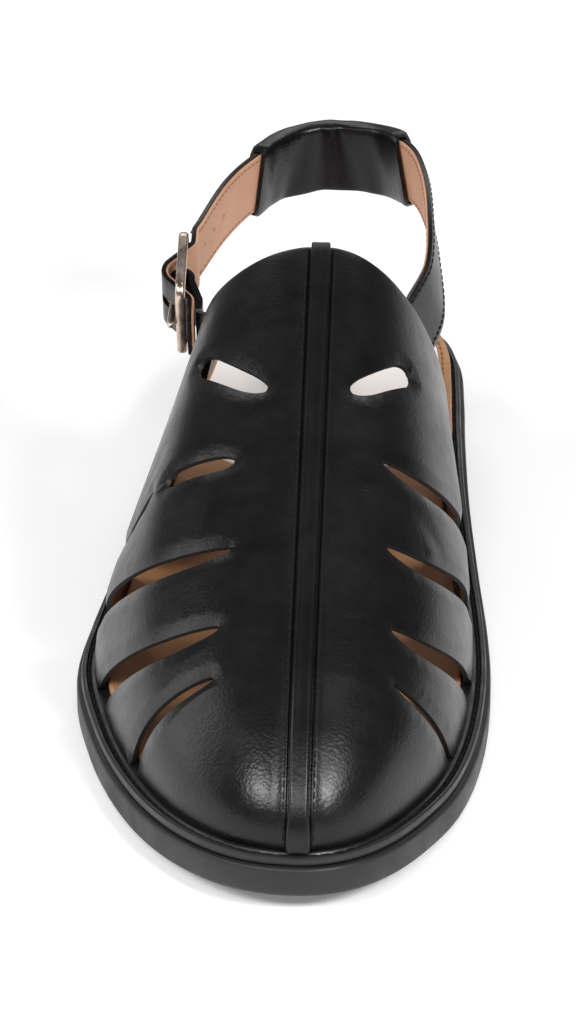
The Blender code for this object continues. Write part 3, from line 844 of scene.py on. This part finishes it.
# Centre strip: a narrow leather strap, turned under at both edges, laid over the seam of the two vamp halves
# from the topline to the welt at the toe, where it flares a little.
STRIP_WIDTH = 0.0048
STRIP_HEIGHT = 0.0019
STRIP_CLEAR = 0.0002
crown_line = [on_skin(OUTER, station, 1) for station in np.linspace(REAR_EDGE.at(1)[0] * LENGTH, PIVOT, 84)]
crown_line += [skin(OUTER, rim(0, OUTER, FEATHER_INSET), rise) for rise in np.linspace(0.985, 0, 42)]
strip_path = []
for i, point in enumerate(crown_line):
    before, after = crown_line[max(i - 2, 0)], crown_line[min(i + 2, len(crown_line) - 1)]
    _, run, drop = after - before
    strip_path.append((np.array([0, point[1], point[2]]), unit(np.array([0, drop, -run]))))
strip_section = (
    (-0.50, -0.2), (-0.50, 0.45), (-0.47, 0.72), (-0.40, 0.90), (-0.31, 0.95), (-0.18, 0.90), (0, 0.87),
    (0.18, 0.90), (0.31, 0.95), (0.40, 0.90), (0.47, 0.72), (0.50, 0.45), (0.50, -0.2),
)
rings = []
for i, (point, out) in enumerate(strip_path):
    flare = 1 + 0.28 * eased((i - len(strip_path) + 14) / 12)
    end = 0.55 + 0.45 * eased((i + 1) / 3)
    rings.append([])
    for b, h in strip_section:
        beside = np.array([b * STRIP_WIDTH * flare, 0, 0])
        rings[-1].append(point + beside + out * (STRIP_CLEAR + h * STRIP_HEIGHT * end))
made("seam_strip", *loft(rings), [leather("strip calf", 0.8, 0.05)], "centre_strip", ("centre_strip",))


# Turned edges: the vamp halves are folded back either side of the strip and sewn close to the fold, which
# leaves a low rounded ridge with a groove beside the strip. Black thread.
RIDGE = (
    (0.0028, 0.00), (0.0029, 0.55),
    (0.0031, 0.86), (0.0034, 1.00),
    (0.0038, 0.93), (0.0043, 0.66),
    (0.0048, 0.38), (0.0054, 0.17),
    (0.0061, 0.05), (0.0069, -0.02),
)
RIDGE_HEIGHT = 0.00055
SEAM_OUT = 0.0036


def over_strip(point, out, x, height):
    """A place beside the strip at height over the vamp."""
    origin = point + np.array([x, 0, 0]) + out * 0.006
    hit, _, _, _ = vamp_skin.ray_cast(Vector(origin), Vector(-out), 0.02)
    if hit is None:
        hit, _, _, _ = vamp_skin.find_nearest(Vector(point + np.array([x, 0, 0])))
    return np.array(hit) + out * height


ridge_calf = leather("turned edge calf", 0.8)
seam_lines = []
for side in (OUTER, INNER):
    rings = []
    line = []
    for i, (point, out) in enumerate(strip_path[1:-1]):
        top = [over_strip(point, out, side * x, h * RIDGE_HEIGHT) for x, h in RIDGE]
        rings.append(top + [top[-1] - out * 0.0004, top[0] - out * 0.0007])
        if i > 0:
            line.append(placed(over_strip(point, out, side * SEAM_OUT, RIDGE_HEIGHT * 0.86)))
    seam_lines.append(line)
    made("turned_edge_" + ("outer" if side == OUTER else "inner"), *loft(rings), [ridge_calf], "upper")
stitched("seam_stitches", seam_lines, 0.0025, 0.0020, 0.0005, black_thread)


# Sling strap: black leather outside, tan lining inside, sewn along both edges. It comes from inside the
# inner flank, round the heel and through the buckle on the outer side, with spare holes behind the pin.
STRAP_WIDTH = 0.018
STRAP_THICK = 0.0018
BAR = 0.0026
PIN = 0.002
BUCKLE_ACROSS = 0.026
BUCKLE_ALONG = 0.024
PRONG = 0.0018
TAIL = 0.004
SLING = (
    (0.272, 0.690, 0.745, 12),
    (0.266, 0.750, 0.800, 8),
    (0.246, 0.820, 0.828, 6),
    (0.205, 0.885, 0.822, 6),
    (0.120, 0.940, 0.790, 9),
    (0.000, 0.960, 0.776, 10),
    (-0.120, 0.942, 0.773, 9),
    (-0.208, 0.885, 0.775, 6),
    (-0.262, 0.825, 0.785, 4),
)
BUCKLE = np.array([-0.352 * BALL_WIDTH, 0.692 * LENGTH, 0.718 * INSTEP_HEIGHT])
BUCKLE_SLOPE = math.radians(21)
buckle_along = np.array([0, math.cos(BUCKLE_SLOPE), math.sin(BUCKLE_SLOPE)])
buckle_up = np.array([0, -math.sin(BUCKLE_SLOPE), math.cos(BUCKLE_SLOPE)])
buckle_out = np.array([-1.0, 0, 0])
REACH = (BUCKLE_ALONG - BAR) / 2
HALF_ACROSS = (BUCKLE_ACROSS - BAR) / 2
EASE = 0.0002
ROOT_DEPTH = WALL + GAP + STRAP_THICK / 2 + 0.0014
PIN_WRAP = PIN / 2 + GAP + STRAP_THICK / 2 + EASE
BAR_PASS = BAR / 2 + GAP + STRAP_THICK / 2 + EASE
LAYER = STRAP_THICK + GAP
PIN_PASS = PIN_WRAP + LAYER


def at_buckle(a, n, b=0):
    return BUCKLE + buckle_along * a + buckle_out * n + buckle_up * b


def arc(a, radius, start, end, steps):
    angles = np.radians(np.linspace(start, end, steps))
    return [(a + radius * math.cos(t), radius * math.sin(t)) for t in angles]


def root(side, shares, rise):
    """Rows for the end of a strap against the inside of the upper."""
    found = []
    for share in shares:
        slopes = slopes_at(side, share * LENGTH, rise)
        point = on_skin(side, share * LENGTH, rise)
        above = on_skin(side, share * LENGTH, rise + 0.04)
        normal = unit(np.cross(slopes[:, 0], slopes[:, 1]) * side)
        normal = normal if normal[0] * side > 0 else -normal
        found.append((*(point - normal * ROOT_DEPTH), *unit(above - point)))
    return found


def evened(rows, spacing):
    rows = np.array(rows)
    steps = np.linalg.norm(np.diff(rows[:, :3], axis=0), axis=1)
    lengths = np.concatenate([[0], np.cumsum(steps)])
    table = Table(np.column_stack([lengths, rows]))
    found = [table.at(at) for at in np.linspace(0, lengths[-1], max(2, round(lengths[-1] / spacing)))]
    return [row[:3] for row in found], [unit(row[3:]) for row in found]


def frames(centres, ups):
    """Middle, width direction and outward direction of a strap at each of its centres."""
    found = []
    for i, centre in enumerate(centres):
        along = unit(centres[min(i + 1, len(centres) - 1)] - centres[max(i - 1, 0)])
        up = unit(ups[i] - along * np.dot(ups[i], along))
        found.append((centre, up, np.cross(along, up)))
    return found


def slab(half, low, high, edge):
    """The section of a leather layer with rounded edges, as (across, outward) pairs."""
    top = [(half, high - edge), (half - edge * 0.3, high - edge * 0.3), (half - edge, high)]
    top += [(half * k / 3, high) for k in (2, 1, 0, -1, -2)]
    top += [(edge - half, high), (edge * 0.3 - half, high - edge * 0.3), (-half, high - edge)]
    under = [(-half, low + edge * 0.3), (edge * 0.3 - half, low)]
    under += [(half * k / 3, low) for k in (-2, -1, 0, 1, 2)]
    under += [(half - edge * 0.3, low), (half, low + edge * 0.3)]
    return top + under


def swept(path, section):
    return [[c + up * b + out * n for b, n in section] for c, up, out in path]


def cut_by(target, cutters):
    """Takes the cutters out of a piece for good."""
    for cutter in cutters:
        hole = target.modifiers.new("hole", "BOOLEAN")
        hole.object = cutter
        hole.solver = "EXACT"
    graph = bpy.context.evaluated_depsgraph_get()
    mesh = bpy.data.meshes.new_from_object(target.evaluated_get(graph))
    target.modifiers.clear()
    target.data = mesh
    mesh.set_sharp_from_angle(angle=math.radians(40))


sling_rows = root(INNER, (0.575, 0.590, 0.605), 0.42)
for i, (x, station, height, lean) in enumerate(SLING):
    point = np.array([x * BALL_WIDTH, station * LENGTH, height * INSTEP_HEIGHT])
    before, after = SLING[max(i - 1, 0)], SLING[min(i + 1, len(SLING) - 1)]
    run = np.array([(after[0] - before[0]) * BALL_WIDTH, (after[1] - before[1]) * LENGTH])
    inward = unit(np.array([-run[1], run[0]]))
    tilt = math.radians(lean)
    sling_rows.append((*point, *(inward * math.sin(tilt)), math.cos(tilt)))
sling_rows.append((*at_buckle(REACH + 0.0035, -BAR_PASS), *buckle_up))
slope = math.degrees(math.asin((BAR_PASS + PIN_PASS) / REACH))
buckle_path = arc(REACH, BAR_PASS, 270, 270 - slope, 7)
buckle_path += arc(0, PIN_PASS, 90 - slope, 90 + slope, 13)
buckle_path += arc(-REACH, BAR_PASS, 270 + slope, 270, 7)
buckle_path += [(-REACH - TAIL * k / 4, -BAR_PASS) for k in (1, 2, 3)]
centres, ups = evened(sling_rows, 0.0015)
free_run = len(centres)
centres = [*centres, *(at_buckle(a, n) for a, n in buckle_path)]
ups = [*ups, *([buckle_up] * len(buckle_path))]
tail_turns = (0.96, 0.85, 0.62)
sling_path = frames(centres, ups)

strap_calf = leather("strap calf", 0.9)
strap_tan = tan_leather("strap lining", (0.60, 0.34, 0.22), (0.48, 0.25, 0.15), 0.00005)
half = STRAP_WIDTH / 2
calf_rings = swept(sling_path, slab(half, -0.0003, STRAP_THICK / 2, 0.00045))
tan_rings = swept(sling_path, slab(half - 0.0005, -STRAP_THICK / 2, -0.0002, 0.0001))
end_centre, end_up, _ = sling_path[-1]
for rings_of in (calf_rings, tan_rings):
    tail_ring = rings_of[-1]
    for k, share in enumerate(tail_turns):
        shift = -buckle_along * TAIL * 0.25 * (k + 1) / 3
        drawn_in = [end_up * np.dot(p - end_centre, end_up) * (1 - share) for p in tail_ring]
        rings_of.append([p + shift - inwards for p, inwards in zip(tail_ring, drawn_in)])
sling_calf = made("sling_outside", *loft(calf_rings), [strap_calf], sharp=40)
sling_tan = made("sling_lining", *loft(tan_rings), [strap_tan], sharp=40)


def punch(centre, out, across, radius):
    """A round cutter through a strap."""
    other = np.cross(out, across)
    turns = np.radians(range(0, 360, 20))
    ring = [centre + across * radius * math.cos(t) + other * radius * math.sin(t) for t in turns]
    cutter = made("punch", *loft([[p + out * 0.004 for p in ring], [p - out * 0.004 for p in ring]]), [])
    cutter.hide_render = True
    return cutter


prong_half = PRONG / 2 + 0.0005
slit_corners = ((-0.0070, -0.0010), (-0.0008, 0.0022), (-0.0008, 0.0065), (-0.0070, 0.0065))
slit_rings = [[at_buckle(a, n, b) for a, n in slit_corners] for b in (-prong_half, prong_half)]
holes = [made("slit", *loft(slit_rings), [])]
SPARE_HOLES = (0.005, 0.013, 0.021)
HOLE_RADIUS = 0.0009
run_back = 0.0
for i in range(free_run - 1, 0, -1):
    step = np.linalg.norm(centres[i] - centres[i - 1])
    for mark in SPARE_HOLES:
        if run_back < mark <= run_back + step:
            centre, up, out = sling_path[i]
            holes.append(punch(centre, out, up, HOLE_RADIUS))
    run_back += step
for piece in (sling_calf, sling_tan):
    cut_by(piece, holes)
for cutter in holes:
    bpy.data.objects.remove(cutter)
dress(sling_calf, ("sling_strap",))
dress(sling_tan)
STITCH_IN = 0.0016
strap_lines = []
for b in (-half + STITCH_IN, half - STITCH_IN):
    for way, proud in ((1, 0.00005), (-1, 0.00003)):
        off = way * (STRAP_THICK / 2 + proud)
        strap_lines.append([placed(c + up * b + out * off) for c, up, out in sling_path[:free_run]])
stitched("sling_stitches_outside", strap_lines[::2], 0.0024, 0.0019, 0.0005, black_thread)
lining_thread = thread("lining thread", (0.30, 0.15, 0.09))
stitched("sling_stitches_inside", strap_lines[1::2], 0.0024, 0.0018, 0.00045, lining_thread)


# Heel sleeve: a wider wrap of soft black leather round the sling at the back of the heel, with no seam shown.
# It bends at one place over the heel and creases across its inner face.
SLEEVE_WIDTH = 0.021
SLEEVE_WALL = 0.0012
SLEEVE_GAP = 0.0005
SLEEVE_START = 0.893 * LENGTH
# Share of the way round, half width in shares, depth over the inner face, tilt of the crease.
FOLDS = (
    (0.22, 0.070, 0.00022, -0.10),
    (0.41, 0.045, 0.00030, 0.07),
    (0.56, 0.040, 0.00038, 0.00),
    (0.70, 0.050, 0.00030, -0.12),
    (0.88, 0.040, 0.00018, 0.05),
)
BEND = 0.57
behind = [i for i, centre in enumerate(centres) if centre[1] > SLEEVE_START]
first, last = behind[0], behind[-1]
sleeve_path = [sling_path[i] for i in range(first, last + 1)]
room = STRAP_THICK / 2 + SLEEVE_GAP
b_out, n_out = SLEEVE_WIDTH / 2, room + SLEEVE_WALL
b_in, n_in = STRAP_WIDTH / 2 + SLEEVE_GAP, room
rounded = []
for k in range(48):
    t = 2 * math.pi * k / 48
    c, s = math.cos(t), math.sin(t)
    rounded.append((math.copysign(abs(c) ** 0.24, c), math.copysign(abs(s) ** 0.5, s)))
outer_rings, inner_rings = [], []
for i, (centre, up, out) in enumerate(sleeve_path):
    share = i / (len(sleeve_path) - 1)
    lip = 1 - 0.10 * (1 - eased(min(share, 1 - share) / 0.03))
    ring = []
    for b, n in rounded:
        sink = 0.0
        for at, wide, depth, tilt in FOLDS:
            off = (share - at - tilt * b * 0.5) / wide
            sink += depth * (math.exp(-off * off) - 0.55 * math.exp(-((abs(off) - 1.7) ** 2)))
        sink *= (0.75 - 0.25 * n) * min(share, 1 - share, 0.08) / 0.08
        lift = 0.0004 * math.exp(-(((share - BEND) / 0.10) ** 2)) * max(b, 0)
        reach = n * n_out * lip - sink * (1 if n > 0 else -1)
        ring.append(centre + up * (b * b_out * lip + lift) + out * reach)
    outer_rings.append(ring)
    inner_rings.append([centre + up * b * b_in + out * n * n_in for b, n in rounded])
made(
    "sleeve_wrap",
    *loft(outer_rings + inner_rings[::-1], cyclic=True),
    [leather("sleeve calf", 1.3, 0.03)],
    "heel_sleeve",
    ("heel_sleeve",),
    sharp=50,
)


# Chape: a short black strap that comes from inside the outer flank and folds round the buckle's pin. Its
# middle is slit for the prong.
CHAPE_WIDTH = 0.012
chape_pass = BAR_PASS + LAYER
chape_rows = root(OUTER, (0.580, 0.595, 0.608), 0.41)
chape_rows += [(*at_buckle(-REACH + step, -chape_pass), *buckle_up) for step in (-0.001, 0.003)]
chape_centres, chape_ups = evened(chape_rows, 0.0015)
pin_path = arc(0, PIN_WRAP, 255, 495, 25)
chape_centres = [*chape_centres, *(at_buckle(a, n) for a, n in pin_path)]
chape_ups = [*chape_ups, *([buckle_up] * len(pin_path))]
chape_path = frames(chape_centres, chape_ups)
fold = made(
    "chape_fold",
    *loft(swept(chape_path, slab(CHAPE_WIDTH / 2, -STRAP_THICK / 2, STRAP_THICK / 2, 0.0003))),
    [strap_calf],
    sharp=40,
)
slit_line = arc(0, PIN_WRAP + LAYER, 0, 345, 24)
slit_rings = [[at_buckle(a, n, b) for a, n in slit_line] for b in (-prong_half, prong_half)]
slit = made("chape_slit", *loft(slit_rings), [])
cut_by(fold, [slit])
bpy.data.objects.remove(slit)
dress(fold, ("chape",))


# Buckle: a cast frame of two windows with a middle pin, warm nickel with a satin face and patchy tarnish,
# and a bent wire prong hooked on the pin. It stays fastened.
satin_nickel, tree, shader, place = finish("warm nickel", (0.62, 0.50, 0.42), 0.28, metal=1.0)
stretched = node(tree, "ShaderNodeMapping", {"Vector": place, "Scale": (1, 0.15, 0.15)}).outputs["Vector"]
brush = noise(tree, stretched, 2600, 3)
tarnish = noise(tree, place, 260, 4)
tree.links.new(spread(tree, tarnish, 0.20, 0.42), shader.inputs["Roughness"])
tinted(tree, shader, spread(tree, tarnish, 0, 1), (0.48, 0.37, 0.30), (0.72, 0.60, 0.51))
bumped(tree, shader, [(brush, 0.00002)])
BUCKLE_CORNER = 0.0032


def round_bar(centre, side_way, out, size):
    ring = []
    for k in range(16):
        t = 2 * math.pi * k / 16
        c, s = math.cos(t), math.sin(t)
        ring.append(
            centre
            + side_way * size / 2 * math.copysign(abs(c) ** 0.7, c)
            + out * size / 2 * math.copysign(abs(s) ** 0.7, s)
        )
    return ring


rings = []
for corner, signs in zip((45, 135, 225, 315), ((1, 1), (-1, 1), (-1, -1), (1, -1))):
    signs = np.array(signs)
    for step in np.linspace(-45, 45, 11):
        turn = math.radians(corner + step)
        radial = np.array([math.cos(turn), math.sin(turn)])
        a, b = signs * (REACH, HALF_ACROSS) + (radial - signs) * BUCKLE_CORNER
        side_way = buckle_along * radial[0] + buckle_up * radial[1]
        rings.append(round_bar(at_buckle(a, 0, b), side_way, buckle_out, BAR))
points, faces = loft(rings, cyclic=True)
pin_rings = []
for b in np.linspace(-HALF_ACROSS, HALF_ACROSS, 5):
    pin_rings.append(round_bar(at_buckle(0, 0, b), buckle_along, buckle_out, PIN))
pin_points, pin_faces = loft(pin_rings)
faces += [tuple(len(points) + i for i in face) for face in pin_faces]
points += pin_points
made("buckle_windows", points, faces, [satin_nickel], "buckle", ("buckle_frame",), sharp=60)

prong_line = BAR / 2 + GAP + PRONG / 2 + EASE
prong_path = arc(0, PIN / 2 + GAP + PRONG / 2, -150, 90, 25)
prong_path += [(-REACH * k / 6, 0) for k in range(1, 7)]
start_n = PIN / 2 + GAP + PRONG / 2
prong_path = [(a, n if n else start_n + (prong_line - start_n) * eased(-a / REACH)) for a, n in prong_path]
for past, drop in ((0.0008, 0), (0.0012, 0.0001), (0.0015, 0.0002)):
    prong_path.append((-REACH - past, prong_line - drop))
prong_points = [at_buckle(a, n) for a, n in prong_path]
prong_girth = [1] * (len(prong_points) - 2) + [0.8, 0.45]
rings = []
for i, (point, fat) in enumerate(zip(prong_points, prong_girth)):
    run = unit(prong_points[min(i + 1, len(prong_points) - 1)] - prong_points[max(i - 1, 0)])
    way = np.cross(run, buckle_up)
    rings.append([])
    for t in np.radians(range(0, 360, 30)):
        rings[-1].append(point + (buckle_up * math.cos(t) + way * math.sin(t)) * PRONG / 2 * fat)
made("buckle_tongue", *loft(rings), [satin_nickel], "buckle", ("buckle_prong",), sharp=60)


# Studio: a plain white floor that glows a little and a dim surround. Three softboxes in front light the toe
# from above and from both sides, with a long one behind, one at the outer side and one over the inner side.
floor = bpy.data.objects.new("floor", bpy.data.meshes.new("floor"))
floor.data.from_pydata([(-15, -15, 0), (15, -15, 0), (15, 15, 0), (-15, 15, 0)], [], [(0, 1, 2, 3)])
floor_white, _, shader, _ = finish("floor white", (0.92, 0.92, 0.92), 0.85, specular=0.1)
shader.inputs["Emission Color"].default_value = (1, 1, 1, 1)
shader.inputs["Emission Strength"].default_value = 0.17
floor.data.materials.append(floor_white)
bpy.context.scene.collection.objects.link(floor)

world = bpy.data.worlds.new("studio")
world.use_nodes = True
world.node_tree.nodes["Background"].inputs["Color"].default_value = (1, 1, 1, 1)
world.node_tree.nodes["Background"].inputs["Strength"].default_value = 0.14
bpy.context.scene.world = world

# Place, size, power and what it is aimed at.
SOFTBOXES = (
    ("front_top", (0.0, -1.00, 0.92), (0.40, 0.20), 4.0, (0, -0.08, 0)),
    ("front_outer", (-0.62, -0.82, 0.86), (0.34, 0.30), 8.0, (0, -0.08, 0)),
    ("front_inner", (0.68, -0.78, 0.84), (0.34, 0.30), 13.0, (0, -0.08, 0)),
    ("inner_top", (0.46, -0.02, 1.25), (0.22, 0.60), 0.8, (0, 0, 0.05)),
    ("rear_fill", (0.0, 1.60, 1.25), (2.2, 0.5), 11.0, (0, 0, 0)),
    ("outer_side", (-1.25, 0.10, 0.45), (0.5, 1.3), 6.0, (0, 0, 0.05)),
)
for name, spot, size, power, aim in SOFTBOXES:
    lamp = bpy.data.lights.new(name, "AREA")
    lamp.shape = "RECTANGLE"
    lamp.size, lamp.size_y = size
    lamp.energy = power
    light = bpy.data.objects.new(name, lamp)
    light.location = spot
    light.rotation_euler = (Vector(aim) - Vector(spot)).to_track_quat("-Z", "Y").to_euler()
    bpy.context.scene.collection.objects.link(light)

# Camera: the same height and way of looking as the photograph, turned to the one shoe.
camera = bpy.data.objects.new("camera", bpy.data.cameras.new("camera"))
camera.location = (0.0502, -1.3004, 0.7480)
target = Vector((0.0, -0.008, 0.040))
camera.rotation_euler = (target - camera.location).to_track_quat("-Z", "Y").to_euler()
camera.data.sensor_fit = "VERTICAL"
camera.data.sensor_height = 36
camera.data.lens = 36 * 1.49 / 0.262
camera.data.clip_end = 20
bpy.context.scene.collection.objects.link(camera)
bpy.context.scene.camera = camera
